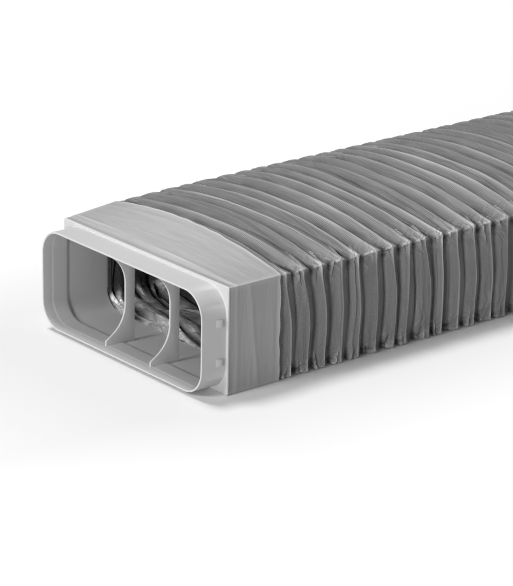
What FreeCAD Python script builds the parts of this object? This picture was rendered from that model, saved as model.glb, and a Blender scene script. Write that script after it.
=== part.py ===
import FreeCAD, Part
import math
import os

# Flexible flat duct: two moulded connectors with a folded hose between them.
# Millimetres. The duct runs along Y, X is its width, Z is up, and it lies on Z = 0.
# The mouth seen first is at the -Y end.

Vector = FreeCAD.Vector
os.makedirs("parts", exist_ok=True)

# The duct as it is sold
duct_length = 1000.0
duct_width = 222.0
duct_height = 89.0

# Connector moulding
spigot_length = 25.0
spigot_corner = 23.0
spigot_wall = 1.8
mouth_relief = 0.5
mouth_relief_depth = 10.3
mouth_chamfer = 0.5
flange_step = 2.2
flange_wall = 2.0
flange_corner = 1.5
sleeve_length = 44.0
sleeve_wall = 1.5
sleeve_corner = 22.0
bore_taper_length = 3.3

# Vanes across the connector mouth
vane_spacing = 62.0
vane_wall = 1.8
vane_foot_reach = 16.2
vane_foot_height = 4.0
vane_foot_round = 1.5
vane_slope = math.radians(32.7)
vane_waist = 4.2
vane_waist_round = 30.0
vane_back_reach = 14.0

# Snap lugs on the narrow sides of the spigot
lug_size = 6.5
lug_height = 1.5
lug_ramp = 2.5
lug_spacing = 34.0
lug_from_flange = 4.0

# Layers of the hose, from the outside in
tape_inset = 0.1
tape_wall = 0.3
tape_length = 53.7
jacket_wall = 0.5
liner_wall = 0.3
wire_size = 2.0
layer_gap = 0.05
wire_gap = 0.1
end_gap = 0.1

# Folds of the hose
fold_turns = 43
fold_depth = 5.0
fold_fall_share = 0.3
edge_crown = 14.0
full_crown = 20.0
crown_settle = 70.0

# Sizes that follow from the ones above
half_width = duct_width / 2
flange_height = duct_height + 2 * flange_step
middle_height = flange_height / 2
mouth_y = duct_length / 2
flange_y = mouth_y - spigot_length
flange_back_y = flange_y - flange_wall
sleeve_end_y = flange_y - sleeve_length
skin_start_y = flange_back_y - end_gap
sleeve_clear_y = sleeve_end_y - liner_wall - end_gap
fold_start_y = flange_back_y - tape_length
fold_pitch = 2 * fold_start_y / fold_turns

# How far each layer lies inside the outline of the flange
jacket_inset = tape_inset + tape_wall + layer_gap
liner_flat_inset = jacket_inset + jacket_wall + layer_gap
sleeve_inset = liner_flat_inset + liner_wall + layer_gap
wire_inset = jacket_inset + jacket_wall + wire_gap + wire_size / 2
liner_crest_inset = wire_inset + wire_size / 2 + wire_gap
liner_valley_inset = jacket_inset + fold_depth + jacket_wall + layer_gap


def rounded_outline(corners):
    """Closed wire through (x, y, z, radius) corners; each radius is tangent to both sides."""
    points = [Vector(x, y, z) for x, y, z, radius in corners]
    pieces = []
    starts = []
    ends = []
    arcs = []
    for index, (x, y, z, radius) in enumerate(corners):
        corner = points[index]
        before = (points[index - 1] - corner).normalize()
        after = (points[(index + 1) % len(points)] - corner).normalize()
        half_angle = before.getAngle(after) / 2
        reach = radius / math.tan(half_angle)
        starts.append(corner + before * reach)
        ends.append(corner + after * reach)
        bisector = (before + after).normalize()
        middle = corner + bisector * (radius / math.sin(half_angle) - radius)
        arcs.append(Part.Arc(starts[-1], middle, ends[-1]).toShape() if radius > 0 else None)
    for index in range(len(corners)):
        if arcs[index] is not None:
            pieces.append(arcs[index])
        pieces.append(Part.makeLine(ends[index], starts[(index + 1) % len(corners)]))
    return Part.Wire(pieces)


def duct_section(inset, corner, y):
    """Rounded rectangle across the duct, this far inside the outline of the flange."""
    side = half_width + flange_step - inset
    top = flange_height - inset
    return rounded_outline([
        (-side, y, inset, corner),
        (-side, y, top, corner),
        (side, y, top, corner),
        (side, y, inset, corner),
    ])


def duct_prism(inset, corner, start, end):
    return Part.Face(duct_section(inset, corner, start)).extrude(Vector(0, end - start, 0))


def connector():
    """The moulding at the -Y end: spigot, flange, sleeve, vanes and lugs in one piece."""
    bore_inset = flange_step + spigot_wall
    bore_corner = spigot_corner - spigot_wall
    sleeve_bore_inset = sleeve_inset + sleeve_wall
    sleeve_bore_corner = sleeve_corner - sleeve_wall

    body = duct_prism(flange_step, spigot_corner, -mouth_y + mouth_chamfer, -flange_y)
    nose = Part.makeLoft([
        duct_section(flange_step + mouth_chamfer, spigot_corner - mouth_chamfer, -mouth_y),
        duct_section(flange_step, spigot_corner, -mouth_y + mouth_chamfer),
    ], True, True)
    flange = duct_prism(0, flange_corner, -flange_y, -flange_back_y)
    sleeve = duct_prism(sleeve_inset, sleeve_corner, -flange_back_y, -sleeve_end_y)
    body = body.fuse([nose, flange, sleeve])

    relief_end = -mouth_y + mouth_relief_depth
    taper_end = -flange_y + bore_taper_length
    relief = duct_prism(bore_inset - mouth_relief, bore_corner + mouth_relief, -mouth_y, relief_end)
    front_bore = duct_prism(bore_inset, bore_corner, -mouth_y, -flange_y)
    taper = Part.makeLoft([
        duct_section(bore_inset, bore_corner, -flange_y),
        duct_section(sleeve_bore_inset, sleeve_bore_corner, taper_end),
    ], True, True)
    rear_bore = duct_prism(sleeve_bore_inset, sleeve_bore_corner, taper_end, -sleeve_end_y)
    body = body.cut(front_bore.fuse([relief, taper, rear_bore]))

    # Each vane is a plate whose front edge curves in from two feet to a narrow waist
    foot_y = -flange_y - vane_foot_reach
    waist_y = -flange_y + vane_waist
    back_y = -flange_y + vane_back_reach
    buried = sleeve_bore_inset - sleeve_wall / 2
    foot_z = bore_inset + vane_foot_height
    waist_z = foot_z + (waist_y - foot_y) * math.tan(vane_slope)
    vanes = []
    for side in (-1, 1):
        x = side * vane_spacing / 2 - vane_wall / 2
        edge = rounded_outline([
            (x, foot_y, buried, 0),
            (x, foot_y, foot_z, vane_foot_round),
            (x, waist_y, waist_z, vane_waist_round),
            (x, waist_y, flange_height - waist_z, vane_waist_round),
            (x, foot_y, flange_height - foot_z, vane_foot_round),
            (x, foot_y, flange_height - buried, 0),
            (x, back_y, flange_height - buried, 0),
            (x, back_y, buried, 0),
        ])
        vanes.append(Part.Face(edge).extrude(Vector(vane_wall, 0, 0)))

    # A lug rises on a ramp towards the flange and is buried half a wall deep
    lugs = []
    lug_back = -flange_y - lug_from_flange
    lug_front = lug_back - lug_size
    for side in (-1, 1):
        root = side * (half_width - spigot_wall / 2)
        top = side * (half_width + lug_height)
        for level in (-1, 1):
            z = middle_height + level * lug_spacing / 2 - lug_size / 2
            profile = Part.makePolygon([
                Vector(root, lug_front, z),
                Vector(side * half_width, lug_front, z),
                Vector(top, lug_front + lug_ramp, z),
                Vector(top, lug_back, z),
                Vector(root, lug_back, z),
                Vector(root, lug_front, z),
            ])
            lugs.append(Part.Face(profile).extrude(Vector(0, 0, lug_size)))
    return body.fuse(vanes + lugs).removeSplitter()


def crown(y):
    """Rise of the middle of the top: straight under the tape, then levelling out."""
    behind_flange = flange_back_y - abs(y)
    if behind_flange < tape_length:
        return edge_crown * behind_flange / tape_length
    settled = 1 - math.exp(-(behind_flange - tape_length) / crown_settle)
    return edge_crown + (full_crown - edge_crown) * settled


def hose_outline(inset, rise):
    """Points round the hose as (x, z), clockwise seen from the -Y mouth, from the bottom middle."""
    side = half_width + flange_step - inset
    top = flange_height - inset
    outline = [(0.0, inset), (-side, inset)]
    for x in (-side, -side / 2, 0.0, side / 2, side):
        outline.append((x, top + rise * (1 - (x / side) ** 2)))
    outline.append((side, inset))
    return outline


# Share of a full turn at which each point of the outline is reached, by its length
full_outline = hose_outline(jacket_inset, full_crown)
outline_points = len(full_outline)
outline_steps = [
    math.dist(full_outline[index], full_outline[(index + 1) % outline_points])
    for index in range(outline_points)
]
turn_shares = [sum(outline_steps[:index]) / sum(outline_steps) for index in range(outline_points)]
crest_count = fold_turns * outline_points


def crest_y(index):
    """Place along Y of a point on the wire's helix; past its ends it stays on the end ring."""
    if index <= 0:
        return -fold_start_y
    if index >= crest_count:
        return fold_start_y
    turn, station = divmod(index, outline_points)
    return -fold_start_y + fold_pitch * (turn + turn_shares[station])


class PanelSolid:
    """A closed solid built from flat panels that share their corner points."""

    def __init__(self):
        self.points = []
        self.facets = []
        self.known = {}

    def point(self, inset, y, station):
        station = station % outline_points
        x, z = hose_outline(inset, crown(y))[station]
        key = (round(x, 6), round(y, 6), round(z, 6))
        if key not in self.known:
            self.known[key] = len(self.points)
            self.points.append(Vector(*key))
        return self.known[key]

    def panel(self, a, b, c, d, facing_out):
        """Two triangles split from a to c; a side that has shrunk to a point drops out."""
        for triangle in ((a, b, c), (a, c, d)):
            if len(set(triangle)) == 3:
                self.facets.append(triangle if facing_out else triangle[::-1])

    def ring(self, inset, y):
        return [self.point(inset, y, station) for station in range(outline_points)]

    def band(self, first, second, facing_out):
        for station in range(outline_points):
            following = (station + 1) % outline_points
            self.panel(first[station], first[following], second[following], second[station],
                       facing_out)

    def solid(self):
        shell = Part.Shape()
        shell.makeShapeFromMesh((self.points, self.facets), 0.001)
        solid = Part.Solid(shell.Shells[0])
        if solid.Volume < 0:
            solid.reverse()
        return solid


def folded_skin(flat_inset, crest_inset, valley_inset, wall):
    """A hose layer: flat on both sleeves, folded along the helix in between.

    The space from one crest to the next grows from nothing to a full pitch over the
    first turn and shrinks again over the last one, and the fold is as deep as that
    space allows, so the folds run out at the tapes without a step.
    """
    skin = PanelSolid()
    end_rings = []
    for facing_out, extra in ((True, 0.0), (False, wall)):
        flat = flat_inset + extra
        crest_level = crest_inset + extra
        depth = valley_inset - crest_inset

        def crest(index):
            return skin.point(crest_level, crest_y(index), index)

        def valley(index):
            here = crest_y(index)
            space = crest_y(index + outline_points) - here
            level = crest_level + depth * space / fold_pitch
            return skin.point(level, here + fold_fall_share * space, index)

        for index in range(-outline_points, crest_count):
            skin.panel(crest(index), crest(index + 1), valley(index + 1), valley(index), facing_out)
            skin.panel(valley(index), valley(index + 1), crest(index + outline_points + 1),
                       crest(index + outline_points), facing_out)

        rings = [
            skin.ring(flat, -skin_start_y),
            skin.ring(flat, -sleeve_clear_y),
            skin.ring(crest_level, -fold_start_y),
            skin.ring(crest_level, fold_start_y),
            skin.ring(flat, sleeve_clear_y),
            skin.ring(flat, skin_start_y),
        ]
        for front, back in ((0, 1), (1, 2), (3, 4), (4, 5)):
            skin.band(rings[front], rings[back], facing_out)
        end_rings.append((rings[0], rings[5]))
    (outer_front, outer_back), (inner_front, inner_back) = end_rings
    skin.band(inner_front, outer_front, True)
    skin.band(outer_back, inner_back, True)
    return skin.solid()


def support_wire():
    """The helix that holds the hose open, four-sided with one edge up under each crest."""
    wire = PanelSolid()
    radius = wire_size / 2
    sides = ((-radius, 0.0), (0.0, radius), (radius, 0.0), (0.0, -radius))

    def section(index):
        y = crest_y(index)
        return [wire.point(wire_inset + rise, y + shift, index) for rise, shift in sides]

    for index in range(crest_count):
        here = section(index)
        following = section(index + 1)
        for side in range(4):
            beyond = (side + 1) % 4
            wire.panel(here[side], following[side], following[beyond], here[beyond], True)
    first = section(0)
    last = section(crest_count)
    wire.panel(first[0], first[1], first[2], first[3], True)
    wire.panel(last[3], last[2], last[1], last[0], True)
    return wire.solid()


def tape_band():
    """The film round the -Y end of the hose, from the flange to the first fold."""
    tape = PanelSolid()
    stops = (-skin_start_y, -sleeve_clear_y, -fold_start_y)
    outer = [tape.ring(tape_inset, y) for y in stops]
    inner = [tape.ring(tape_inset + tape_wall, y) for y in stops]
    for front, back in ((0, 1), (1, 2)):
        tape.band(outer[front], outer[back], True)
        tape.band(inner[front], inner[back], False)
    tape.band(inner[0], outer[0], True)
    tape.band(outer[2], inner[2], True)
    return tape.solid()


def turned_round(shape):
    """The same piece at the other end of the duct."""
    turned = shape.copy()
    turned.rotate(Vector(0, 0, 0), Vector(0, 0, 1), 180)
    return turned


front_connector = connector()
front_tape = tape_band()
jacket = folded_skin(jacket_inset, jacket_inset, jacket_inset + fold_depth, jacket_wall)
liner = folded_skin(liner_flat_inset, liner_crest_inset, liner_valley_inset, liner_wall)

pieces = {
    "front_connector": front_connector,
    "rear_connector": turned_round(front_connector),
    "front_tape_band": front_tape,
    "rear_tape_band": turned_round(front_tape),
    "outer_jacket": jacket,
    "inner_liner": liner,
    "support_wire": support_wire(),
}
for name, shape in pieces.items():
    shape.exportStep("parts/" + name + ".step")
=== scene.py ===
import bmesh
import bpy
import math
import numpy as np
from mathutils import Matrix, Vector


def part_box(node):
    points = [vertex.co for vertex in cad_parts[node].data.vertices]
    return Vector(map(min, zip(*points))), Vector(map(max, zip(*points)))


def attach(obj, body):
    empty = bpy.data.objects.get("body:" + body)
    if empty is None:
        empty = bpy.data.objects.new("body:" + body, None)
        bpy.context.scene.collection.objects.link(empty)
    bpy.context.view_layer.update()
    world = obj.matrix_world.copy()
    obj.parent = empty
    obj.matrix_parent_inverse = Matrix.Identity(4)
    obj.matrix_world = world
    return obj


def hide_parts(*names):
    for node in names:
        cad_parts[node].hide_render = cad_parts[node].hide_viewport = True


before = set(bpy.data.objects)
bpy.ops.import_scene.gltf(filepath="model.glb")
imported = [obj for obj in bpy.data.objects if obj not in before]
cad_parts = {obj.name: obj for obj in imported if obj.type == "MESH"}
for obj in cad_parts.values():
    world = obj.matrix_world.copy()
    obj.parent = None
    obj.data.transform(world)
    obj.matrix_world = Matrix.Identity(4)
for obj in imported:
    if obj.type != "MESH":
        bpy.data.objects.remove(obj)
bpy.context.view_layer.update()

# The two connectors
# Each is one thin-walled moulding in light grey plastic: a spigot with rounded corners, a
# square-cornered flange and a sleeve that goes inside the hose. Two curved vanes cross the
# mouth, and the narrow sides of the spigot carry two snap lugs each.

mm = 0.001
connector_low, connector_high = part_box("front_connector")
half_width = connector_high[0]
flange_height = connector_high[2]
middle_height = flange_height / 2
mouth_y = connector_low[1]
sleeve_end_y = connector_high[1]
spigot_inset = 2.2 * mm
spigot_length = 25 * mm
spigot_corner = 23 * mm
spigot_wall = 1.8 * mm
lip_wall = 1.55 * mm
lip_depth = 10.3 * mm
lip_slope = 1.8 * mm
flange_wall = 2 * mm
flange_corner = 1.5 * mm
sleeve_inset = 1.35 * mm
sleeve_wall = 1.5 * mm
sleeve_corner = 22 * mm
least_corner = 0.3 * mm
bore_taper = 3.3 * mm
flange_y = mouth_y + spigot_length
flange_back_y = flange_y + flange_wall


def stations_round(corner_steps, top_steps, side_steps, bottom_steps, crowding=0.0):
    """Stations round a rounded rectangle, clockwise from its bottom middle.

    Each is (ax, az, nx, nz): its place between the centres of the corner arcs, from -1 to 1,
    and its outward direction. The last station closes the round on the first.
    """
    rows = []

    def straight(start, end, steps, normal, crowd=(True, True)):
        """Stations along a side, crowded towards the corners at its ends."""
        for step in np.linspace(0, 1, steps, endpoint=False):
            eased = step + crowding * {
                (True, True): -math.sin(2 * math.pi * step) / (2 * math.pi),
                (False, True): math.sin(math.pi * step) / math.pi,
                (True, False): -math.sin(math.pi * step) / math.pi,
            }[crowd]
            place = np.array(start) + (np.array(end) - np.array(start)) * eased
            rows.append([place[0], place[1], normal[0], normal[1]])

    def corner(place, first_angle):
        last_angle = first_angle - math.pi / 2
        for angle in np.linspace(first_angle, last_angle, corner_steps, endpoint=False):
            rows.append([place[0], place[1], math.cos(angle), math.sin(angle)])

    straight((0, -1), (-1, -1), bottom_steps // 2, (0, -1), (False, True))
    corner((-1, -1), -math.pi / 2)
    straight((-1, -1), (-1, 1), side_steps, (-1, 0))
    corner((-1, 1), math.pi)
    straight((-1, 1), (1, 1), top_steps, (0, 1))
    corner((1, 1), math.pi / 2)
    straight((1, 1), (1, -1), side_steps, (1, 0))
    corner((1, -1), 0)
    straight((1, -1), (0, -1), bottom_steps // 2, (0, -1), (True, False))
    rows.append(rows[0])
    return np.array(rows).T


def laid_round(stations, inset, corner, rise=0.0, lean=0.0, under=1.0):
    """x and z of the stations at this inset and corner radius.

    The middle of the top is up by rise and its left corner by lean, and the bottom is inset
    by the share under of the rest.
    """
    ax, az, nx, nz = stations
    x = ax * (half_width - inset - corner) + nx * corner
    low = inset * under
    high = flange_height - inset
    z = (low + high) / 2 + az * ((high - low) / 2 - corner) + nz * corner
    crown_share = np.maximum(nz, 0) * (1 - (x / half_width) ** 2)
    lean_share = (1 - x / half_width) / 2 * np.clip(z / flange_height, 0, 1)
    return x, z + rise * crown_share + lean * lean_share


def rounded_off(points, steps):
    """A closed line of points (u, v, ..., radius), each corner turned into an arc of its radius."""
    result = []
    count = len(points)
    for index, point in enumerate(points):
        here = np.array(point[:-1], float)
        radius = point[-1]
        if radius == 0:
            result.append(here)
            continue
        before = np.array(points[index - 1][:-1], float)
        after = np.array(points[(index + 1) % count][:-1], float)
        back = np.linalg.norm((before - here)[:2])
        ahead = np.linalg.norm((after - here)[:2])
        cosine = np.dot((before - here)[:2], (after - here)[:2]) / (back * ahead)
        half_angle = math.acos(max(-1, min(1, cosine))) / 2
        reach = radius / math.tan(half_angle)
        start = here + (before - here) * reach / back
        end = here + (after - here) * reach / ahead
        weight = math.sin(half_angle)
        for share in np.linspace(0, 1, steps + 1):
            first = (1 - share) ** 2
            second = 2 * weight * share * (1 - share)
            third = share ** 2
            result.append((start * first + here * second + end * third) / (first + second + third))
    return np.array(result)


def grid_faces(rows, columns, close_rows=False):
    """Quads of a grid whose points run row by row."""
    faces = []
    for row in range(rows if close_rows else rows - 1):
        following = (row + 1) % rows
        for column in range(columns - 1):
            faces.append((row * columns + column, row * columns + column + 1,
                          following * columns + column + 1, following * columns + column))
    return faces


def placed(name, data):
    """An object of this mesh, lamp or camera, linked to the scene."""
    thing = bpy.data.objects.new(name, data)
    bpy.context.scene.collection.objects.link(thing)
    return thing


def smoothed(mesh, sharp_angle):
    """Shades a mesh smooth, except at edges that bend by more than this many degrees."""
    mesh.shade_smooth()
    mesh.set_sharp_from_angle(angle=math.radians(sharp_angle))


def marked(mesh, marks):
    """Writes named values onto the points of a mesh, for its finish to read."""
    for mark, values in marks.items():
        layer = mesh.attributes.new(mark, "FLOAT", "POINT")
        layer.data.foreach_set("value", values.reshape(-1).astype(np.float32))


def piece_from(name, points, faces, sharp_angle, marks=None):
    """A closed piece from points and faces, with doubled points merged."""
    mesh = bpy.data.meshes.new(name)
    mesh.from_pydata([tuple(point) for point in points], [], faces)
    marked(mesh, marks or {})
    work = bmesh.new()
    work.from_mesh(mesh)
    bmesh.ops.remove_doubles(work, verts=work.verts, dist=1e-6)
    bmesh.ops.dissolve_degenerate(work, edges=work.edges, dist=1e-7)
    bmesh.ops.recalc_face_normals(work, faces=work.faces)
    work.to_mesh(mesh)
    work.free()
    smoothed(mesh, sharp_angle)
    return placed(name, mesh)


def settle(piece):
    """Applies the modifiers of a piece, so that its mesh is the finished one."""
    evaluated = piece.evaluated_get(bpy.context.evaluated_depsgraph_get())
    finished = bpy.data.meshes.new_from_object(evaluated)
    piece.modifiers.clear()
    piece.data = finished


def eased_block(name, outline, axis, start, end, edge):
    """A prism of an outline along x or z, with its edges eased."""
    work = bmesh.new()
    corners = []
    for u, v in outline:
        corners.append(work.verts.new((start, u, v) if axis == "x" else (u, v, start)))
    face = work.faces.new(corners)
    grown = bmesh.ops.extrude_face_region(work, geom=[face])
    moved = [item for item in grown["geom"] if isinstance(item, bmesh.types.BMVert)]
    shift = (end - start, 0, 0) if axis == "x" else (0, 0, end - start)
    bmesh.ops.translate(work, verts=moved, vec=shift)
    bmesh.ops.recalc_face_normals(work, faces=work.faces)
    mesh = bpy.data.meshes.new(name)
    work.to_mesh(mesh)
    work.free()
    block = placed(name, mesh)
    bevel = block.modifiers.new("eased", "BEVEL")
    bevel.width = edge
    bevel.segments = 3
    bevel.limit_method = "ANGLE"
    bevel.angle_limit = math.radians(50)
    settle(block)
    smoothed(block.data, 25)
    return block


def joined(name, parts):
    """One object out of several."""
    with bpy.context.temp_override(active_object=parts[0], object=parts[0],
                                   selected_objects=parts, selected_editable_objects=parts):
        bpy.ops.object.join()
    parts[0].name = name
    parts[0].data.name = name
    return parts[0]


def connector_shell():
    """The wall of spigot, flange and sleeve: its profile (y, inset, corner, rounding) led round."""
    bore_inset = spigot_inset + spigot_wall
    bore_corner = spigot_corner - spigot_wall
    lip_inset = spigot_inset + lip_wall
    lip_corner = spigot_corner - lip_wall
    lip_end_y = mouth_y + lip_depth
    sleeve_bore_inset = sleeve_inset + sleeve_wall
    sleeve_bore_corner = sleeve_corner - sleeve_wall
    profile = rounded_off([
        (mouth_y, lip_inset, lip_corner, 0.35 * mm),
        (mouth_y, spigot_inset, spigot_corner, 0.5 * mm),
        (flange_y, spigot_inset, spigot_corner, 0.6 * mm),
        (flange_y, 0, flange_corner, 0.55 * mm),
        (flange_back_y, 0, flange_corner, 0.4 * mm),
        (flange_back_y, sleeve_inset, sleeve_corner, 0.2 * mm),
        (sleeve_end_y, sleeve_inset, sleeve_corner, 0.5 * mm),
        (sleeve_end_y, sleeve_bore_inset, sleeve_bore_corner, 0.5 * mm),
        (flange_y + bore_taper, sleeve_bore_inset, sleeve_bore_corner, 9 * mm),
        (flange_y, bore_inset, bore_corner, 9 * mm),
        (lip_end_y + lip_slope / 3, bore_inset, bore_corner, 2 * mm),
        (lip_end_y - lip_slope * 2 / 3, lip_inset, lip_corner, 2 * mm),
    ], 4)
    stations = stations_round(12, 8, 4, 8)
    points = []
    for y, inset, corner in profile:
        x, z = laid_round(stations, inset, max(corner, least_corner))
        points += [(px, y, pz) for px, pz in zip(x, z)]
    faces = grid_faces(len(profile), len(stations[0]), close_rows=True)
    return piece_from("front_connector_shell", points, faces, 40)


vane_spacing = 62 * mm
vane_wall = 1.8 * mm
vane_edge = 0.35 * mm
vane_tip = 1.5 * mm
vane_curve = 30 * mm
foot_reach = 16.2 * mm
foot_height = 4 * mm
waist_reach = 4.2 * mm
vane_slope = math.radians(32.7)
vane_back = 14 * mm


def connector_vane(x):
    """An upright vane: wide at its feet, and narrowed by a curve towards its waist."""
    buried = sleeve_inset + sleeve_wall / 2
    foot_y = flange_y - foot_reach
    waist_y = flange_y + waist_reach
    back_y = flange_y + vane_back
    foot_z = spigot_inset + spigot_wall + foot_height
    waist_z = foot_z + (waist_y - foot_y) * math.tan(vane_slope)
    outline = rounded_off([
        (foot_y, buried, 0),
        (foot_y, foot_z, vane_tip),
        (waist_y, waist_z, vane_curve),
        (waist_y, flange_height - waist_z, vane_curve),
        (foot_y, flange_height - foot_z, vane_tip),
        (foot_y, flange_height - buried, 0),
        (back_y, flange_height - buried, 0),
        (back_y, buried, 0),
    ], 14)
    return eased_block("vane", outline, "x", x - vane_wall / 2, x + vane_wall / 2, vane_edge)


lug_size = 6.5 * mm
lug_height = 1.3 * mm
lug_ramp = 4.4 * mm
lug_edge = 0.4 * mm
lug_from_flange = 4 * mm
lug_spacing = 34 * mm


def connector_lug(side, z):
    """A snap lug, which rises on a ramp towards the flange."""
    root = side * (half_width - spigot_inset - spigot_wall / 2)
    face = side * (half_width - spigot_inset)
    top = side * (half_width - spigot_inset + lug_height)
    back = flange_y - lug_from_flange
    front = back - lug_size
    outline = [(root, front), (face, front), (top, front + lug_ramp), (top, back), (root, back)]
    return eased_block("lug", outline, "z", z - lug_size / 2, z + lug_size / 2, lug_edge)


class Signal:
    """One socket of a finish's nodes. Arithmetic on it adds Math nodes."""

    def __init__(self, finish, socket):
        self.finish = finish
        self.socket = socket

    def math(self, operation, first, second):
        return self.finish.node("ShaderNodeMath", {"operation": operation}, {0: first, 1: second})

    def __add__(self, other):
        return self.math("ADD", self, other)

    __radd__ = __add__

    def __sub__(self, other):
        return self.math("SUBTRACT", self, other)

    def __rsub__(self, other):
        return self.math("SUBTRACT", other, self)

    def __mul__(self, other):
        return self.math("MULTIPLY", self, other)

    __rmul__ = __mul__


class Finish:
    """A material on the Principled shader, built node by node."""

    def __init__(self, name):
        self.material = bpy.data.materials.new(name)
        self.material.use_nodes = True
        self.tree = self.material.node_tree
        self.shader = self.tree.nodes["Principled BSDF"]

    def node(self, kind, settings=None, inputs=None, output=0):
        """Any node, with its settings, what its sockets get, and the output that it gives."""
        node = self.tree.nodes.new(kind)
        for key, value in (settings or {}).items():
            setattr(node, key, value)
        for key, value in (inputs or {}).items():
            self.feed(node.inputs[key], value)
        return Signal(self, node.outputs[output])

    def feed(self, socket, value):
        if isinstance(value, Signal):
            self.tree.links.new(value.socket, socket)
        else:
            socket.default_value = value

    def shade(self, **inputs):
        """Sets the shader's sockets; Base_Color stands for Base Color, and so on."""
        for name, value in inputs.items():
            self.feed(self.shader.inputs[name.replace("_", " ")], value)

    def mixed(self, share, first, second):
        """Colour between two colours."""
        return self.node("ShaderNodeMix", {"data_type": "RGBA"},
                         {"Factor": share, 6: first, 7: second}, output=2)

    def wear(self, piece):
        piece.data.materials.clear()
        piece.data.materials.append(self.material)


def grey(level):
    return (level, level, level, 1)


plastic = Finish("light_grey_moulding")
place = plastic.node("ShaderNodeTexCoord", output="Object")
cloudy = plastic.node("ShaderNodeTexNoise", {}, {"Vector": place, "Scale": 14.0, "Detail": 3.0})
grain = plastic.node("ShaderNodeTexNoise", {}, {"Vector": place, "Scale": 1800.0, "Detail": 2.0})
plastic.shade(
    Base_Color=plastic.mixed(cloudy, (0.59, 0.59, 0.595, 1), grey(0.63)),
    Roughness=cloudy * 0.12 + 0.5,
    Normal=plastic.node("ShaderNodeBump", {}, {"Strength": 0.25, "Distance": 0.00008, "Height": grain}),
    IOR=1.5,
)

parts = [connector_shell()]
for side in (-1, 1):
    parts.append(connector_vane(side * vane_spacing / 2))
    for level in (-1, 1):
        parts.append(connector_lug(side, middle_height + level * lug_spacing / 2))
front_connector = joined("front_connector_moulding", parts)
plastic.wear(front_connector)


def rear_copy(piece, name, mirrored=False):
    """The same piece at the other end of the duct, turned round or mirrored."""
    data = piece.data.copy()
    data.name = name
    if mirrored:
        data.transform(Matrix.Scale(-1, 4, (0, 1, 0)))
        data.flip_normals()
    else:
        data.transform(Matrix.Rotation(math.pi, 4, "Z"))
    return placed(name, data)


rear_connector = rear_copy(front_connector, "rear_connector_moulding")
for piece, node in ((front_connector, "front_connector"), (rear_connector, "rear_connector")):
    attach(piece, "root")
    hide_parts(node)

# The inner liner
# A tube of dark metallised foil that carries the air. The wire presses it into a groove at each
# turn, and between the turns it bulges into the bore in fat, crumpled rolls.

tape_low, tape_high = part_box("front_tape_band")
tape_start_y = tape_low[1]
tape_end_y = tape_high[1]
tape_crown = 12 * mm
full_crown = 15 * mm
tape_lean = 5 * mm
full_lean = 8 * mm
crown_settle = 70 * mm
fold_turns = 44
fold_start_y = sleeve_end_y + 0.8 * mm
fold_pitch = -2 * fold_start_y / fold_turns
jacket_corner = 2.5 * mm
wire_radius = 1 * mm
skin_start = 6 * mm

# The hose is pushed together by hand, so its turns stray from even spacing. These are the strays
# in millimetres at six places of the turns next to the front end, and the mean ones of the others.
stray_shares = [0.37, 0.505, 0.57, 0.68, 0.75, 0.825]
front_strays = [
    (3.6, 2.4, 3.8, 1.8, 9.5, 7.0),
    (0.0, -0.7, 1.5, 0.9, 9.5, 5.5),
    (0.5, 3.2, 4.0, 1.4, 8.4, 4.5),
    (0.6, -1.8, 0.0, 2.7, 6.9, 4.0),
    (1.0, 1.1, 2.9, 2.1, 6.3, 2.5),
    (1.5, -3.4, 1.3, 3.6, 6.8, 3.0),
    (7.0, 3.0, 3.3, 2.1, 8.2, 4.0),
    (9.0, 1.0, 1.2, 2.3, 2.7, -2.0),
    (7.4, -1.6, -1.3, 0.3, 8.6, 5.0),
    (7.8, -6.6, -5.9, 1.0, 3.6, 1.0),
    (6.0, -0.7, -2.4, -2.2, 4.0, 1.5),
    (8.0, -5.2, -2.0, -1.2, 4.5, 0.5),
    (7.0, -1.8, -1.0, -1.5, 4.4, 1.5),
    (7.0, -1.8, 1.4, 0.5, 2.4, -1.0),
]
mean_strays = (4.0, -1.0, 0.5, 1.0, 5.0, 2.5)
stray_spread = 1.9


def swelling(y, at_tape, at_full):
    """A rise from nothing at the flange straight up to the tape's edge, which then levels out."""
    behind = -flange_back_y - np.abs(y)
    reach = tape_end_y - flange_back_y
    settled = 1 - np.exp(-(behind - reach) / crown_settle)
    return np.where(behind < reach, at_tape * behind / reach, at_tape + (at_full - at_tape) * settled)


def laid_on(stations, inset, corner, y, under=0.35):
    """x and z of the hose's skin at this place along Y."""
    return laid_round(stations, inset, corner, swelling(y, tape_crown, full_crown),
                      swelling(y, tape_lean, full_lean), under)


def wander(seed, waves, *places):
    """A smooth random line or surface, about -1 to 1.

    Each place is (values, lowest frequency, highest frequency).
    """
    chance = np.random.default_rng(seed)
    total = 0
    for wave in range(waves):
        phase = chance.uniform(0, 2 * math.pi)
        for values, low, high in places:
            phase = phase + values * chance.uniform(low, high) * chance.choice((-1, 1))
        total = total + np.sin(phase)
    return total / math.sqrt(waves / 2) / 1.5


def fading(distance, reach):
    """One where the distance is nothing, and softly down to nothing beyond the reach."""
    return np.exp(-(distance / reach) ** 2)


def ridge(distance, reach):
    """One where the distance is nothing, and straight down to nothing at the reach."""
    return np.clip(1 - np.abs(distance) / reach, 0, 1)


chance = np.random.default_rng(11)
marked_turns = []
marked_strays = []
for turn in range(fold_turns):
    if turn < len(front_strays):
        strays = front_strays[turn]
    else:
        strays = mean_strays + chance.normal(0, stray_spread, len(mean_strays))
    marked_turns += [turn + 0.02] + [turn + share for share in stray_shares]
    marked_strays += [0.0] + list(strays)
fine_turns = np.arange(-1, fold_turns + 1, 0.01)
fine_strays = np.interp(fine_turns, marked_turns, marked_strays, left=0, right=0)
fine_strays = np.convolve(fine_strays, np.hanning(7) / np.hanning(7).sum(), "same")
fine_strays = fine_strays + 0.35 * wander(12, 8, (fine_turns, 8, 30))
fine_strays = fine_strays + 0.22 * wander(13, 10, (fine_turns, 50, 150))


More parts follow.
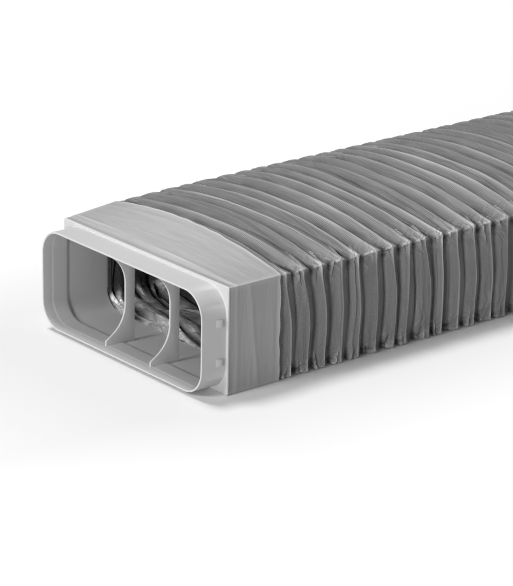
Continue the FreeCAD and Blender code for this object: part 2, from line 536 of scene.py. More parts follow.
def crest_y(helix):
    """Place along Y of the wire after so many turns; past its ends it stays on the end ring."""
    held = np.clip(np.minimum(helix, fold_turns - helix) / 0.4, 0, 1)
    y = fold_start_y + fold_pitch * helix + np.interp(helix, fine_turns, fine_strays) * held * mm
    return np.clip(y, fold_start_y, -fold_start_y)


def helix_grid(stations, rows_per_turn):
    """Grid of a spiral skin: the turns passed at each point, its row within the turn, the share
    of the girth at each column, and the girth."""
    x, z = laid_round(stations, 0, jacket_corner, full_crown)
    steps = np.hypot(np.diff(x), np.diff(z))
    share = np.concatenate([[0], np.cumsum(steps)]) / steps.sum()
    share[-1] = 1
    rows = np.arange(-rows_per_turn, fold_turns * rows_per_turn + 1)
    turn = np.floor_divide(rows, rows_per_turn)
    helix = turn[:, None] + share[None, :]
    row_in_turn = (rows % rows_per_turn)[:, None] + 0 * helix
    return helix, row_in_turn.astype(int), share, float(steps.sum())


def end_rings(stations, corner, rings):
    """Plain rings (place behind the flange, inset) of a skin at both ends, front ones first."""
    front = []
    back = []
    for behind, inset in rings:
        y = flange_back_y + behind
        x, z = laid_on(stations, inset, corner, y)
        front.append((x, np.full_like(x, y), z))
        back.insert(0, (x, np.full_like(x, -y), z))
    return np.array(front), np.array(back)


def skin_piece(name, front, x, y, z, back, sharp_angle, marks, lengths=None):
    """A skin from its grid and end rings, with named marks and its lengths as a UV map."""
    skin = np.concatenate([front, np.stack([x, y, z], 1), back])
    rows, _, columns = skin.shape
    mesh = bpy.data.meshes.new(name)
    mesh.from_pydata(skin.transpose(0, 2, 1).reshape(-1, 3).tolist(), [], grid_faces(rows, columns))
    blank = np.zeros((len(front), columns))
    marked(mesh, {mark: np.concatenate([blank, values, blank]) for mark, values in marks.items()})
    if lengths is not None:
        layer = mesh.uv_layers.new(name="lengths")
        corner_points = np.zeros(len(mesh.loops), dtype=np.int32)
        mesh.loops.foreach_get("vertex_index", corner_points)
        flat = np.stack(lengths, -1).reshape(-1, 2)[corner_points]
        layer.data.foreach_set("uv", flat.reshape(-1).astype(np.float32))
    work = bmesh.new()
    work.from_mesh(mesh)
    bmesh.ops.remove_doubles(work, verts=work.verts, dist=2e-6)
    bmesh.ops.dissolve_degenerate(work, edges=work.edges, dist=1e-6)
    work.to_mesh(mesh)
    work.free()
    smoothed(mesh, sharp_angle)
    return placed(name, mesh)


# Depths are in millimetres until they are added to an inset
liner_rows = 18
liner_stations = stations_round(5, 18, 10, 44, 0.2)
liner_crest = 3.5 * mm
helix, row_in_turn, _, _ = helix_grid(liner_stations, liner_rows)
phase = row_in_turn / liner_rows
here = crest_y(helix)
spacing = crest_y(helix + 1) - here
fullness = np.clip(1.6 * spacing / fold_pitch, 0, 1)
roll = np.sin(math.pi * phase) ** 0.55
split_at = 0.5 + 0.16 * wander(25, 8, (helix, 6, 22))
split = np.clip(0.25 + 0.9 * wander(26, 8, (helix, 4, 16)), 0, 1) * fading(phase - split_at, 0.11)
crumple = 0.8 * wander(21, 18, (helix, 30, 120), (phase, 2, 9))
pulls = np.abs(wander(23, 10, (helix, 25, 70), (phase, 1, 4)))
swell = 8.5 + 2.4 * wander(22, 10, (helix, 8, 40))
helical = (swell * (1 - 0.55 * split) + crumple - 1.6 * pulls) * roll * fullness

# On the bottom the rolls lie aslant and run out into points
slanted_pitch = 17 * mm
low_x, low_z = laid_round(liner_stations, liner_crest, 14 * mm)
straight_y = here + phase * spacing
slanted = (straight_y + 0.2 * low_x[None, :] + 5 * mm * wander(27, 8, (helix, 3, 14))) / slanted_pitch
slanted_share = slanted % 1
slanted_roll = np.sin(math.pi * slanted_share) ** 0.6
off_ends = np.clip((-fold_start_y - np.abs(straight_y)) / (5 * mm), 0, 1)
aslant = ((0.9 * swell + crumple - 1.4 * pulls) * slanted_roll + 1.2) * off_ends
low_share = np.clip(-1.3 * liner_stations[3], 0, 1)[None, :]
high = np.clip((low_z - 9 * mm) / (9 * mm), 0, 1)[None, :]
rolled = helical * (1 - 0.4 * high) + (aslant - helical) * low_share
# The foil stays inside the cloth
least = 3.8 * roll * fullness * (1 - low_share)
liner_inset = liner_crest + np.maximum(rolled, least) * mm
liner_lean = 0.10 * wander(24, 8, (helix, 3, 18)) * roll
liner_y = here + (phase + liner_lean) * spacing
x, z = laid_on(liner_stations, liner_inset, (7 + 6 * roll) * mm, liner_y, 1.0)
liner_rings = [(skin_start, 1.2 * mm), (fold_start_y - flange_back_y - 2 * mm, 1.25 * mm)]
front, back = end_rings(liner_stations, 20 * mm, liner_rings)
# Painted shade: the foil is darker in the grooves between the rolls, and high on the walls
lit = (1 - fading(np.minimum(phase, 1 - phase), 0.13)) * (1 - 0.75 * split)
slanted_lit = 1 - fading(np.minimum(slanted_share, 1 - slanted_share), 0.21)
foil_shade_mark = 1 - (lit + (slanted_lit - lit) * low_share) * (1 - 0.95 * high)
liner = skin_piece("foil_liner", front, x, liner_y, z, back, 50, marks={"foil_shade": foil_shade_mark})

foil = Finish("dark_metallised_foil")
place = foil.node("ShaderNodeTexCoord", output="Object")
pulled = foil.node("ShaderNodeMapping", {}, {"Vector": place, "Scale": (60.0, 150.0, 110.0)})
rippled = foil.node("ShaderNodeTexNoise", {},
                    {"Vector": pulled, "Scale": 1.0, "Detail": 2.0, "Distortion": 0.8})
folded = foil.node("ShaderNodeMath", {"operation": "ABSOLUTE"}, {0: rippled - 0.5})
foil_shade = foil.node("ShaderNodeAttribute", {"attribute_name": "foil_shade"}, output="Fac")
foil.shade(
    # Painted shade darkens the foil in its grooves and high on the walls
    Base_Color=foil.mixed(foil_shade * 0.94, foil.mixed(rippled, grey(0.34), grey(0.9)), grey(0.01)),
    Roughness=rippled * 0.35 + 0.26 + foil_shade * 0.4,
    Normal=foil.node("ShaderNodeBump", {}, {"Strength": 0.6, "Distance": 0.005, "Height": folded}),
    Metallic=0.75,
    IOR=1.5,
)
foil.wear(liner)
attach(liner, "root")
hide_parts("inner_liner")
steps = np.hypot(np.diff(liner_y, axis=0), np.diff(liner_inset, axis=0))

# The support wire
# One length of spring steel wire wound clockwise down the duct, between the liner and the
# jacket. It makes the crests of the folds and starts and ends at the bottom, at the sleeves.

wire_stations = stations_round(4, 28, 8, 14)
wire_inset = 2.5 * mm
wire_corner = 3 * mm
wire_sides = 6
helix, _, share, _ = helix_grid(wire_stations, 1)
turns = np.concatenate([helix[row, :-1] for row in range(1, len(helix) - 1)] + [[fold_turns]])
columns = np.arange(len(turns)) % (len(share) - 1)
wire_points = []
wire_faces = []
for number, (y, column) in enumerate(zip(crest_y(turns), columns)):
    for side in range(wire_sides):
        angle = 2 * math.pi * side / wire_sides
        inset = wire_inset - wire_radius * math.cos(angle)
        x, z = laid_on(wire_stations[:, column], inset, wire_corner, y, 1.0)
        wire_points.append((float(x), y + wire_radius * math.sin(angle), float(z)))
    if number:
        before = (number - 1) * wire_sides
        after = number * wire_sides
        for side in range(wire_sides):
            beyond = (side + 1) % wire_sides
            wire_faces.append((before + side, before + beyond, after + beyond, after + side))
wire_faces.append(tuple(range(wire_sides)))
wire_faces.append(tuple(range(len(wire_points) - wire_sides, len(wire_points)))[::-1])
wire = piece_from("spiral_wire", wire_points, wire_faces, 50)

steel = Finish("drawn_spring_steel")
place = steel.node("ShaderNodeTexCoord", output="Object")
drawn = steel.node("ShaderNodeTexNoise", {}, {"Vector": place, "Scale": 300.0, "Detail": 2.0})
steel.shade(Base_Color=steel.mixed(drawn, grey(0.45), grey(0.6)), Roughness=drawn * 0.2 + 0.25, Metallic=1.0)
steel.wear(wire)
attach(wire, "root")
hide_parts("support_wire")

# The outer jacket
# A tube of grey woven cloth with a coating, sewn round the wire. The hose is pushed together,
# so that the cloth drops into a narrow groove behind each crest and then rises in a wide panel
# to the next crest. At the corners it is pinched into points and small tucks.

# The grid has its rows at these shares of the way from one crest to the next
row_phases = [0, 0.02, 0.045, 0.09, 0.15, 0.22, 0.28, 0.32, 0.36, 0.40,
              0.45, 0.52, 0.59, 0.66, 0.73, 0.80, 0.87, 0.93, 0.97, 1.0]
groove_phase = 0.36
jacket_rows = len(row_phases) - 1
jacket_stations = stations_round(7, 45, 13, 10, 0.65)
crest_inset = 0.45 * mm
tucked_inset = 1.7 * mm
pinch_reach = 9 * mm
corner_reach = 16 * mm
slit_width = 0.045
notch_drop = 1.5 * mm
tuck_width = 0.12
helix, row_in_turn, share, girth = helix_grid(jacket_stations, jacket_rows)
phase = np.array(row_phases)[row_in_turn]
here = crest_y(helix)
spacing = crest_y(helix + 1) - here
fullness = np.clip(spacing / fold_pitch, 0, 1.2)
turn = np.floor(helix).astype(int)

# Where each column lies: how far it faces up, down and to a side, and how far past a corner
upward = np.maximum(jacket_stations[3], 0)[None, :]
downward = np.maximum(-jacket_stations[3], 0)[None, :]
sideward = np.abs(jacket_stations[2])[None, :]
corner_directions = [(-1, -1), (-1, 1), (1, 1), (1, -1)]
corner_shares = share[[np.argmax(jacket_stations[2] * across + jacket_stations[3] * rise)
                       for across, rise in corner_directions]]
to_corners = (share[:, None] - corner_shares[None, :]) * girth
nearest_corner = np.argmin(np.abs(to_corners), axis=1)
past_corner = to_corners[np.arange(len(share)), nearest_corner][None, :]
pinch = fading(past_corner, pinch_reach)
flat_x, _ = laid_round(jacket_stations, 0, jacket_corner)
leftward = upward * np.clip((-flat_x - 10 * mm) / (100 * mm), 0, 1)[None, :]
upper_left = np.clip((-flat_x - 60 * mm) / (40 * mm), 0, 1) * np.clip(3 * jacket_stations[3], 0, 1)
toward_side = np.maximum(sideward, np.exp(-np.abs(past_corner) / corner_reach) - 0.002)
lowered = np.where(flat_x > 0, share - corner_shares[2], corner_shares[1] - share)
lowered = np.clip(lowered / (corner_shares[3] - corner_shares[2]), 0, 1)[None, :]

chance = np.random.default_rng(31)
turn_count = fold_turns + 2
per_corner = (turn_count, len(corner_directions))


def by_turn(front_values, low, high):
    """A value for each turn: these next to the front end, and random ones behind them."""
    later = chance.uniform(low, high, turn_count - len(front_values))
    return np.concatenate([front_values, later])[turn]


def by_corner(values):
    """At each point the value of its turn and its nearest corner."""
    return values[turn, nearest_corner[None, :]]


# Depths of the grooves, and on the sides the shares of the spacing that lie before them
top_groove = by_turn([4.2, 1.0, 4.6, 1.4, 5.0, 3.6, 4.6, 3.4, 4.2, 1.5, 4.8, 3.2, 4.0, 3.8], 0.9, 3.9)
side_groove = by_turn([2.6, 5.0, 4.8, 3.6, 3.2, 3.6, 5.2, 2.2, 5.4, 4.2, 3.0, 3.6, 3.2, 4.2], 2.4, 5.2)
bottom_groove = 4.2
corner_groove = np.array([5.0, 2.8, 6.0, 6.0])[nearest_corner][None, :]
groove_depth = top_groove * upward + 1.15 * side_groove * sideward + bottom_groove * downward
groove_depth = groove_depth / (upward + sideward + downward) + 0.6 * wander(33, 8, (helix, 6, 40))
groove_depth = np.maximum(groove_depth + (corner_groove - groove_depth) * 0.85 * pinch, 0.6)
groove_depth = groove_depth * (1 - 0.7 * leftward)
high_band = by_turn([0.63, 0.53, 0.57, 0.57, 0.32, 0.60, 0.57, 0.45, 0.57, 0.38, 0.50, 0.42], 0.26, 0.50)
low_band = by_turn([0.32, 0.32, 0.44, 0.38, 0.32, 0.44, 0.44, 0.38, 0.45, 0.34, 0.40, 0.36], 0.24, 0.42)
side_band = high_band + (low_band - high_band) * lowered
top_band = groove_phase - 0.02
groove_at = top_band + (side_band - top_band) * toward_side + 0.05 * wander(32, 6, (helix, 3, 16))
groove_at = np.clip(groove_at, 0.2, 0.7)

# The cloth falls from the crest into the groove, and climbs in a panel to the next crest. On the
# sides and at the corners the panel starts with a sharp step out of the groove.
before_groove = phase <= groove_phase
fall = phase / groove_phase
climb = np.clip((phase - groove_phase) / (1 - groove_phase), 0, 1)
edge_near = fading(past_corner, np.where(upward > 0.5, 12 * mm, 3.5 * mm))
bulge = 1 + 0.3 * wander(38, 6, (helix, 3, 14)) + 1.7 * edge_near
fallen = np.interp(fall ** bulge, [0, 0.055, 0.125, 0.25, 0.42, 0.61, 0.78, 0.89, 1],
                   [0, 0.04, 0.17, 0.38, 0.55, 0.70, 0.84, 0.94, 1])
bend = 1.1 + 0.5 * upward + 0.35 * wander(34, 6, (helix, 2, 9)) - 0.2 * sideward - 0.7 * pinch
risen = np.clip((climb - 0.15 * pinch) / (1 - 0.15 * pinch), 0, 1)
unclimbed = 1 - risen ** np.clip(bend, 0.38, 1.9)
step_level = 0.74 - 0.24 * pinch
stepped = np.where(risen < 0.1, 1 + (step_level - 1) * risen / 0.1, step_level * (1 - risen) / 0.9)
unclimbed = unclimbed + (stepped - unclimbed) * np.maximum(0.85 * sideward, pinch)
depth = groove_depth * np.where(before_groove, fallen, unclimbed)
phase = np.where(before_groove, groove_at * fall, groove_at + (1 - groove_at) * climb)
slit = fading(phase - groove_at, slit_width) * np.clip(1.0 + 0.8 * wander(39, 6, (helix, 5, 30)), 0, 2)
depth = depth + slit * (1 + 0.5 * upward) * (1 - 0.95 * upper_left[None, :])

# Below the upper corners the grooves open into small dark notches, and above the lower ones the
# panels are cupped
corner_chance = by_corner(chance.uniform(0.2, 1.2, per_corner))
down_side = np.abs(past_corner) * np.where(sideward > 0.5, 1, 1.6)
notch = fading(down_side - notch_drop, 3.8 * mm) * fading(phase - groove_at, 0.11) * corner_chance
cup_at = by_corner(chance.uniform(0.3, 0.6, per_corner))
cup = fading(down_side - 3.5 * mm, 2.2 * mm) * np.exp(-((climb - cup_at) / 0.28) ** 4) * ~before_groove
cup = cup * np.clip(1.6 * corner_chance - 0.4, 0, 1.2) * (lowered > 0.5) * (sideward > 0.5)
depth = depth + 1.6 * notch * (flat_x > 0) + 1.3 * cup

# Creases along the panels, and tucks that run from the corners into them
crease_at = 0.45 + 0.22 * wander(35, 6, (helix, 2, 12))
crease_height = np.clip((1.0 + 0.8 * sideward) * wander(36, 6, (helix, 2, 9)), -1.6, 1.6)
crease = crease_height * ridge(climb - crease_at, 0.2)
tuck_from = by_corner(chance.uniform(0.25, 0.8, per_corner))
tuck_slant = by_corner(chance.uniform(10, 26, per_corner) * chance.choice((-1, 1), per_corner))
tuck_reach = by_corner(chance.uniform(9, 24, per_corner)) * mm
tuck_height = by_corner(chance.uniform(1.2, 4.0, per_corner) * chance.choice((-0.7, 1, 1), per_corner))
tuck_line = tuck_from + tuck_slant * past_corner
tuck = tuck_height * ridge(climb - tuck_line, tuck_width) * fading(past_corner, tuck_reach)

# Forks: short ridges that leave a crest's tip at a corner and cross the groove on the top
fork_reach = by_corner(chance.uniform(12, 30, per_corner)) * mm
fork_taken = by_corner(chance.random(per_corner) < 0.6) * (upward > 0.6)
fork_line = 0.95 * np.abs(past_corner) / fork_reach
fork = ridge(fall - fork_line, 0.22) * (fork_line < 1) * before_groove * fork_taken
depth = depth * (1 - 0.8 * fork)
rumple = 0.42 * wander(37, 22, (helix, 40, 190), (phase, 1, 6))
room = np.clip(depth / 2.0, 0, 1)
depth = np.maximum(depth + (rumple - crease - tuck) * room, 0)

jacket_y = here + phase * spacing
past_tape = (-flange_back_y - np.abs(jacket_y)) - (tape_end_y - flange_back_y)
free = np.clip(0.9 + past_tape / (2.5 * mm), 0, 1)
jacket_inset = tucked_inset + (crest_inset + depth * fullness * mm - tucked_inset) * free
# The cloth stays outside the foil
most = 3.2 + 3.3 * np.sin(math.pi * np.clip(phase, 0, 1)) ** 0.55 * (1 - downward) + 1.2 * downward
jacket_inset = np.minimum(jacket_inset, most * mm)
jacket_bend = jacket_corner - 1.7 * mm * np.clip(0.35 + depth / 3, 0, 1)
x, z = laid_on(jacket_stations, jacket_inset, jacket_bend, jacket_y)
front, back = end_rings(jacket_stations, jacket_corner, [(skin_start, tucked_inset), (30 * mm, tucked_inset)])

# Painted highlights on the crests, tips, tucks and forks
crest_width = (0.8 + upward * (1 - pinch) + 0.5 * pinch) * mm
crest_highlight_strength = np.clip(0.45 - 0.17 * upward + 0.5 * wander(40, 8, (helix, 3, 22)) + 0.9 * pinch, 0, 1.5)
crest_faint = 1 - 0.6 * leftward - 0.4 * upward * (1 - leftward) * (turn > 13)
crest_highlight_mark = fading(np.minimum(phase, 1 - phase) * fold_pitch, crest_width)
crest_highlight_mark = crest_highlight_mark * crest_faint * crest_highlight_strength * np.clip(2 * fullness, 0, 1)
fall_bend = chance.uniform(0.35, 1.3, turn_count)[turn]
corner_highlight_chance = by_corner(chance.uniform(0.8, 1.5, per_corner))
corner_highlight_line = fading(np.abs(past_corner) - 0.5 * mm, 1.2 * mm) * (1 - fading(phase - groove_at - 0.04, 0.12))
tuck_highlight_line = ridge(climb - tuck_line, tuck_width) ** 2 * (tuck > 0)
tuck_highlight_line = tuck_highlight_line * fading(past_corner, tuck_reach) * ~before_groove
crest_highlight_mark = np.maximum(crest_highlight_mark, corner_highlight_line * corner_highlight_chance)
crest_highlight_mark = np.maximum(crest_highlight_mark, np.maximum(0.9 * tuck_highlight_line, 1.2 * fork))

# Painted shade for the grooves, their slits, the notches and the cups
fall_power = 0.8 + (fall_bend - 0.8) * sideward + 2.5 * edge_near * (upward > 0.5)
climb_left = np.clip(1 - climb / (0.8 - 0.55 * toward_side), 0, 1)
groove_shade_strength = 0.75 + 0.6 * upward * np.exp(-np.abs(past_corner) / (60 * mm)) - 0.46 * sideward
groove_full = np.clip(groove_depth / 4.6 + 0.3 * wander(42, 12, (helix, 20, 120)), 0, 1.3)
groove_shade_mark = np.where(before_groove, fall ** fall_power, climb_left ** 1.6)
groove_shade_mark = groove_shade_mark * groove_shade_strength * groove_full * (1 - fork)
slit_shade_mark = np.clip(1.1 * slit * upward * (1 - 0.8 * leftward), 0, 1.25) * (1 - fork)
notch_shade_mark = fading(down_side - notch_drop, 4.5 * mm) * fading(phase - groove_at - 0.05, 0.12)
notch_shade_mark = notch_shade_mark * (0.65 + corner_chance) * (flat_x > 0)
groove_shade_mark = np.maximum(np.maximum(groove_shade_mark, slit_shade_mark), np.minimum(notch_shade_mark + 0.75 * cup, 1.25))
bunch_mark = np.exp(-np.abs(past_corner) / corner_reach) + 0 * phase

# The weave follows the lengths round the girth and along the folds
steps = np.hypot(np.diff(jacket_y, axis=0), np.diff(jacket_inset, axis=0))
developed = np.concatenate([np.zeros((len(front) + 1, len(share))), np.cumsum(steps, axis=0)])
developed = np.concatenate([developed] + [developed[-1:]] * len(back))
round_girth = (share * girth)[None, :] + 0 * developed
jacket = skin_piece(
    "cloth_jacket", front, x, jacket_y, z, back, 32,
    marks={"crest": crest_highlight_mark, "groove": groove_shade_mark, "bunch": bunch_mark},
    lengths=(round_girth, developed),
)

cloth = Finish("coated_grey_cloth")
lengths = cloth.node("ShaderNodeUVMap", {"uv_map": "lengths"})
across = cloth.node("ShaderNodeSeparateXYZ", {}, {0: lengths}, output="X")
along = cloth.node("ShaderNodeSeparateXYZ", {}, {0: lengths}, output="Y")
thread = 2 * math.pi / (1.8 * mm)
warp = cloth.node("ShaderNodeMath", {"operation": "SINE"}, {0: (across + along * 0.18) * thread})
weft = cloth.node("ShaderNodeMath", {"operation": "SINE"}, {0: along * thread})
weave = warp * 0.6 + weft * 0.1
place = cloth.node("ShaderNodeTexCoord", output="Object")
mottle = cloth.node("ShaderNodeTexNoise", {}, {"Vector": place, "Scale": 60.0, "Detail": 4.0})
fine = cloth.node("ShaderNodeTexNoise", {}, {"Vector": place, "Scale": 420.0, "Detail": 3.0})
crest = cloth.node("ShaderNodeAttribute", {"attribute_name": "crest"}, output="Fac")
groove = cloth.node("ShaderNodeAttribute", {"attribute_name": "groove"}, output="Fac")
bunch = cloth.node("ShaderNodeAttribute", {"attribute_name": "bunch"}, output="Fac")
laid = cloth.node("ShaderNodeCombineXYZ", {}, {"X": across * 9.0, "Y": along * 260.0})
pleats = cloth.node("ShaderNodeTexNoise", {"noise_dimensions": "2D"},
                    {"Vector": laid, "Scale": 1.0, "Detail": 2.0})


def spread(finish, value, ends, results):
    """The value from between these ends brought between these results, and held there."""
    return finish.node("ShaderNodeMapRange", {"clamp": True}, {
        "Value": value, "From Min": ends[0], "From Max": ends[1], "To Min": results[0], "To Max": results[1]})


def wrinkles(slant, seed):
    """Thin ridges that run aslant over the cloth: 1 on their lines, 0 between them."""
    spot = cloth.node("ShaderNodeCombineXYZ", {},
                      {"X": across * 30.0 + along * slant, "Y": along * 75.0, "Z": seed})
    noise = cloth.node("ShaderNodeTexNoise", {},
                       {"Vector": spot, "Scale": 1.0, "Detail": 1.0, "Distortion": 0.4})
    line = cloth.node("ShaderNodeMath", {"operation": "ABSOLUTE"}, {0: noise - 0.5})
    return spread(cloth, line, (0.0, 0.045), (1.0, 0.0))


bunched = (wrinkles(30.0, 1.0) + wrinkles(-30.0, 7.0)) * bunch
outward = cloth.node("ShaderNodeNewGeometry", output="Normal")
facing_up = cloth.node("ShaderNodeSeparateXYZ", {}, {0: outward}, output="Z")
patches = spread(cloth, mottle, (0.42, 0.6), (0.15, 1.1))
# The weave is painted stronger where the cloth faces up: painted light and shade of the threads
weave_light_strength = spread(cloth, facing_up, (0.2, 0.8), (0.4, 1.1))
level = mottle * 0.4 + weave * patches * weave_light_strength + pleats * 0.5 + 0.05
base = cloth.mixed(level, grey(0.15), grey(0.27))
# Painted shade in the grooves, slits, notches and cups
base = cloth.mixed(groove * 0.8, base, grey(0.055))
# Painted highlights along the wrinkles near the corners
base = cloth.mixed(bunched * 0.35, base, grey(0.4))
# Painted highlights on the crests, corner tips, tucks and forks
base = cloth.mixed(crest * 0.68, base, grey(0.6))
height = weave * 0.25 + mottle * 1.4 + pleats * 1.5 + fine * 0.4 + bunched * 0.9
cloth.shade(
    Base_Color=base,
    Roughness=0.48 - crest * 0.12 + mottle * 0.1,
    Normal=cloth.node("ShaderNodeBump", {}, {"Strength": 0.7, "Distance": 0.0006, "Height": height}),
    IOR=1.45,
)
cloth.wear(jacket)
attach(jacket, "root")
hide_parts("outer_jacket")

# The tape bands
# A band of light grey film goes round each end of the hose, from the flange onto the cloth.
# It is pulled over the square corners of the flange, lies in long soft wrinkles, and its free
# edge rises with the crown of the hose.

tape_wall = 0.35 * mm
tape_corner = 1.2 * mm
tape_bore_corner = 1.0 * mm
tape_stations = stations_round(7, 48, 24, 24)
tape_steps = [0, 0.02, 0.045, 0.07, 0.10, 0.13, 0.16, *np.linspace(0.2, 0.96, 22), 0.985, 1.0]
tape_share = np.array(tape_steps)[:, None]
tape_reach = tape_end_y - tape_start_y
above = np.maximum(tape_stations[3], 0)[None, :]
flat_x, flat_z = laid_round(tape_stations, 0, tape_corner)
length_round = np.concatenate([[0], np.cumsum(np.hypot(np.diff(flat_x), np.diff(flat_z)))])
angle = 2 * math.pi * (length_round / length_round[-1])[None, :]
to_corner = np.hypot(half_width - np.abs(flat_x), middle_height - np.abs(flat_z - middle_height))[None, :]


def looped(seed, waves, turns, slants):
    """Smooth random wrinkles round the band, which close on themselves."""
    chance = np.random.default_rng(seed)
    total = 0
    for wave in range(waves):
        turn_angle = chance.integers(*turns) * angle
        slant = chance.uniform(*slants) * chance.choice((-1, 1))
        total = total + np.sin(turn_angle + slant * tape_share + chance.uniform(0, 2 * math.pi))
    return total / math.sqrt(waves / 2) / 1.5


def pulled_line(line, width):
    """A line round the band: its place along the band, and how far this drifts with x and z."""
    start, drift = line
    return fading(tape_share - start - drift * (flat_x + flat_z)[None, :] / half_width, width)


bridge_line = (0.075, 0.0)
cloth_end_line = (0.20, -0.035)
rear_line = (0.80, 0.05)
slanting_line = (0.78, -0.22)
edge_line = (0.93, 0.02)
edge_ripple = looped(41, 8, (4, 34), (0, 0))
edge_wave = 0.7 * mm * (edge_ripple - 1.0) * (1 - 0.4 * above) * tape_share ** 6
tape_y = tape_start_y + tape_share * (tape_reach + edge_wave)
streaks = looped(42, 10, (1, 5), (14, 40))
swells = looped(43, 6, (3, 12), (2, 7))
# Behind the flange the film bridges to the end of the cloth, with a crease where it meets it, and
# its other wrinkles run slightly aslant
film_dip = 0.5 + 0.07 * streaks + 0.10 * swells * np.sin(math.pi * tape_share)
film_dip = film_dip + 0.8 * pulled_line(bridge_line, 0.03) * (0.2 + 0.8 * above)
film_dip = film_dip - 0.45 * pulled_line(cloth_end_line, 0.022)
film_dip = film_dip - 0.4 * pulled_line(rear_line, 0.035)
film_dip = film_dip - 0.8 * pulled_line(slanting_line, 0.03) * (1 - above)
film_dip = film_dip * (0.1 + 0.9 * np.clip(to_corner / (5 * mm), 0, 1))
film_dip = np.clip(film_dip, 0.02, 1.2) * np.clip((1 - tape_share) / 0.1, 0.15, 1) * mm
outer_x, outer_z = laid_on(tape_stations, film_dip, tape_corner, tape_y, 1.0)
inner_x, inner_z = laid_on(tape_stations, film_dip + tape_wall, tape_bore_corner, tape_y, 1.0)

# Painted highlights on the corners, the free edge and the wrinkles
tape_highlight_mark = np.maximum(fading(to_corner, 0.9 * mm), (tape_share > 0.98) * 0.45)
tape_highlight_mark = np.maximum(tape_highlight_mark, 0.6 * pulled_line(cloth_end_line, 0.012) * above)
tape_highlight_mark = np.maximum(tape_highlight_mark, 0.15 * pulled_line(slanting_line, 0.015) * (1 - above))
tape_highlight_mark = np.maximum(tape_highlight_mark, 0.2 * pulled_line(edge_line, 0.04) * (1 - above))


def both_sides(outer, inner):
    """The values over the outer side, and back over the inner one."""
    return np.concatenate([outer, inner[::-1]])


tape_grid = np.stack([both_sides(outer_x, inner_x), both_sides(tape_y, tape_y),
                      both_sides(outer_z, inner_z)], -1)
rows, columns, _ = tape_grid.shape
front_tape = piece_from(
    "front_tape", tape_grid.reshape(-1, 3), grid_faces(rows, columns, close_rows=True), 45,
    marks={"edge": both_sides(tape_highlight_mark, tape_highlight_mark)},
)

film = Finish("light_grey_film")
place = film.node("ShaderNodeTexCoord", output="Object")
pulled = film.node("ShaderNodeMapping", {}, {"Vector": place, "Scale": (40.0, 160.0, 14.0)})
streaks = film.node("ShaderNodeTexNoise", {},
                    {"Vector": pulled, "Scale": 1.0, "Detail": 3.0, "Distortion": 0.4})
cloudy = film.node("ShaderNodeTexNoise", {}, {"Vector": place, "Scale": 25.0, "Detail": 3.0})
edge = film.node("ShaderNodeAttribute", {"attribute_name": "edge"}, output="Fac")
base = film.mixed(streaks * 0.5 + cloudy * 0.5, grey(0.39), grey(0.47))
film.shade(
    # Painted highlights on the corners, the free edge and the wrinkles of the film
    Base_Color=film.mixed(edge * 0.95, base, grey(0.75)),
    Roughness=streaks * 0.16 + 0.42,
    Normal=film.node("ShaderNodeBump", {}, {"Strength": 0.35, "Distance": 0.0015, "Height": streaks}),
    IOR=1.42,
)
film.wear(front_tape)
rear_tape = rear_copy(front_tape, "rear_tape", mirrored=True)
for piece, node in ((front_tape, "front_tape_band"), (rear_tape, "rear_tape_band")):
    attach(piece, "root")
    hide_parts(node)

# The floor and the light
# The duct lies on a plain white floor under three soft lamps: one in front of the mouth, one
# overhead, and a low one in front and to the right. The floor is whiter where the camera looks at
# it, and glows to plain white away from the duct, so that it runs into the background.

floor_size = 12
floor_mesh = bpy.data.meshes.new("floor")
floor_mesh.from_pydata(
    [(-floor_size, -floor_size, 0), (floor_size, -floor_size, 0),
     (floor_size, floor_size, 0), (-floor_size, floor_size, 0)],
    [], [(0, 1, 2, 3)],
)
floor = placed("floor", floor_mesh)
floor.location.z = -0.2 * mm
white = Finish("white_floor")
seen = white.node("ShaderNodeLightPath", output="Is Camera Ray")
white.shade(Base_Color=white.mixed(seen, grey(0.58), grey(0.89)), Roughness=0.9)
place = white.node("ShaderNodeTexCoord", output="Object")


def past_duct(axis, half):
    """How far a spot of the floor lies past the duct along X or Y."""
    along_axis = white.node("ShaderNodeSeparateXYZ", {}, {0: place}, output=axis)
    distance = white.node("ShaderNodeMath", {"operation": "ABSOLUTE"}, {0: along_axis})
    return white.node("ShaderNodeMath", {"operation": "MAXIMUM"}, {0: distance - half, 1: 0.0})


away = past_duct("X", half_width) + past_duct("Y", -mouth_y) * 0.6
far = spread(white, away, (0.035, 0.15), (0.0, 1.0))
glow = white.node("ShaderNodeEmission", {},
                  {"Color": white.mixed(far, grey(0.12), grey(1.0)), "Strength": 0.15})
plain = Signal(white, white.shader.outputs[0])
together = white.node("ShaderNodeAddShader", {}, {0: glow, 1: plain})
surface = white.node("ShaderNodeMixShader", {}, {0: seen, 1: plain, 2: together})
output = white.tree.nodes["Material Output"]
white.tree.links.new(surface.socket, output.inputs["Surface"])
white.wear(floor)

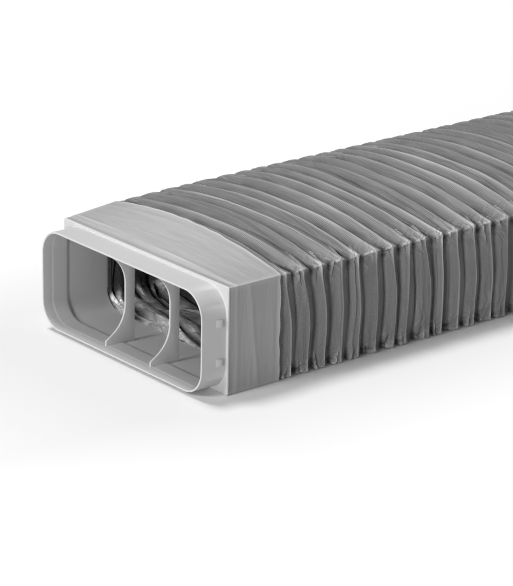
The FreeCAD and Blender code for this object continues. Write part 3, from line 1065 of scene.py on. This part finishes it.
# A weak light from all sides, and plain white where the camera looks past the floor
world = bpy.data.worlds.new("studio")
bpy.context.scene.world = world
world.use_nodes = True
sky = world.node_tree.nodes
background = sky["Background"]
background.inputs["Color"].default_value = grey(1.0)
path = sky.new("ShaderNodeLightPath")
strength = sky.new("ShaderNodeMix")
strength.inputs["A"].default_value = 0.15
strength.inputs["B"].default_value = 1.0
seen_through = sky.new("ShaderNodeMath")
seen_through.operation = "MAXIMUM"
world.node_tree.links.new(path.outputs["Is Camera Ray"], seen_through.inputs[0])
world.node_tree.links.new(path.outputs["Is Transmission Ray"], seen_through.inputs[1])
world.node_tree.links.new(seen_through.outputs[0], strength.inputs["Factor"])
world.node_tree.links.new(strength.outputs["Result"], background.inputs["Strength"])


def lamp(name, place, spread_angle, power):
    """A far, soft lamp in this direction that shines on the duct."""
    light = bpy.data.lights.new(name, "SUN")
    light.angle = math.radians(spread_angle)
    light.energy = power
    holder = placed(name, light)
    holder.location = place
    holder.rotation_euler = (-Vector(place)).to_track_quat("-Z", "Y").to_euler()


lamp("front_lamp", (-0.12, -2.35, 1.6), 14, 1.43)
lamp("top_lamp", (-0.8, -0.1, 2.6), 15, 1.72)
lamp("side_lamp", (0.95, -2.6, 0.25), 14, 1.5)

# The camera
# It stands to the right of the mouth and a little above, as in the photograph.

camera_azimuth = math.radians(50.27)
camera_elevation = math.radians(19.48)
camera_roll = math.radians(1.04)
camera_distance = 2314 * mm
camera_shift = (-95.8 * mm, -53.5 * mm)
camera_lens = 168.5
back = Vector((math.sin(camera_azimuth) * math.cos(camera_elevation),
               -math.cos(camera_azimuth) * math.cos(camera_elevation), math.sin(camera_elevation)))
right = Vector((math.cos(camera_azimuth), math.sin(camera_azimuth), 0))
up = back.cross(right)
picture_right = math.cos(camera_roll) * right + math.sin(camera_roll) * up
picture_up = -math.sin(camera_roll) * right + math.cos(camera_roll) * up
stand = (Vector((0, flange_y, 0)) + back * camera_distance
         - picture_right * camera_shift[0] - picture_up * camera_shift[1])
lens = bpy.data.cameras.new("camera")
lens.lens = camera_lens
lens.sensor_width = 36
camera = placed("camera", lens)
camera.matrix_world = Matrix((
    (picture_right.x, picture_up.x, back.x, stand.x),
    (picture_right.y, picture_up.y, back.y, stand.y),
    (picture_right.z, picture_up.z, back.z, stand.z),
    (0, 0, 0, 1),
))
bpy.context.scene.camera = camera
bpy.context.scene.view_settings.view_transform = "Standard"
bpy.context.scene.cycles.filter_width = 1.1
